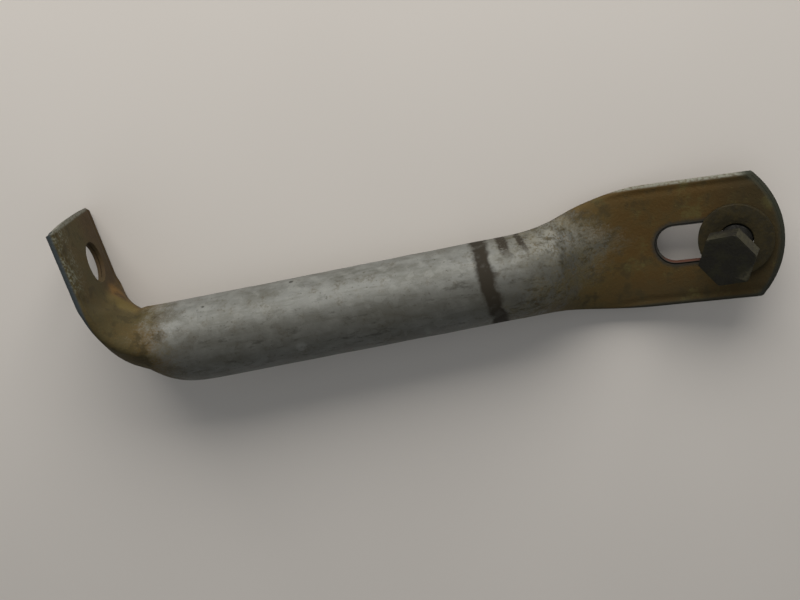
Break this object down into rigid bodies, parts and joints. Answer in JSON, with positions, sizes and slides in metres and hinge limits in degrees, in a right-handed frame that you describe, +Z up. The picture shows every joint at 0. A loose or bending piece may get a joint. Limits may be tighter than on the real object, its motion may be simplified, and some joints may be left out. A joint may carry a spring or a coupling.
{
  "type": "tubular steel stay",
  "caption": "Bent steel tube stay with both ends pressed flat: a drilled flange, and a slotted tab holding a loose hex bolt and flat washer.",
  "frame": {"origin": "middle of the footprint, on the surface the stay lies on", "axes": "+X along the tube from the flange to the slotted tab, +Y the way the flange stands up from the tube's line, +Z up off the surface"},
  "size_m": [0.2086, 0.0638, 0.0385],
  "materials": {
    "galvanised_tube": "weathered zinc, rusted on the pressed ends",
    "rusty_washer": "rusted zinc plate",
    "rusty_bolt": "dark rust over zinc plate"
  },
  "bodies": {
    "brace": {"brace_tube": "galvanised_tube"},
    "washer": {"flat_washer": "rusty_washer"},
    "bolt": {"hex_bolt": "rusty_bolt"}
  },
  "joints": [
    {"name": "washer_slot_slide", "type": "slide", "parent": "brace", "child": "washer", "axis": [0.969, 0, 0.2472], "range_m": [-0.0162, 0]},
    {"name": "bolt_drop_lift", "type": "slide", "parent": "washer", "child": "bolt", "axis": [-0.4022, -0.086, 0.9115], "range_m": [-0.0075, 0.011]}
  ]
}
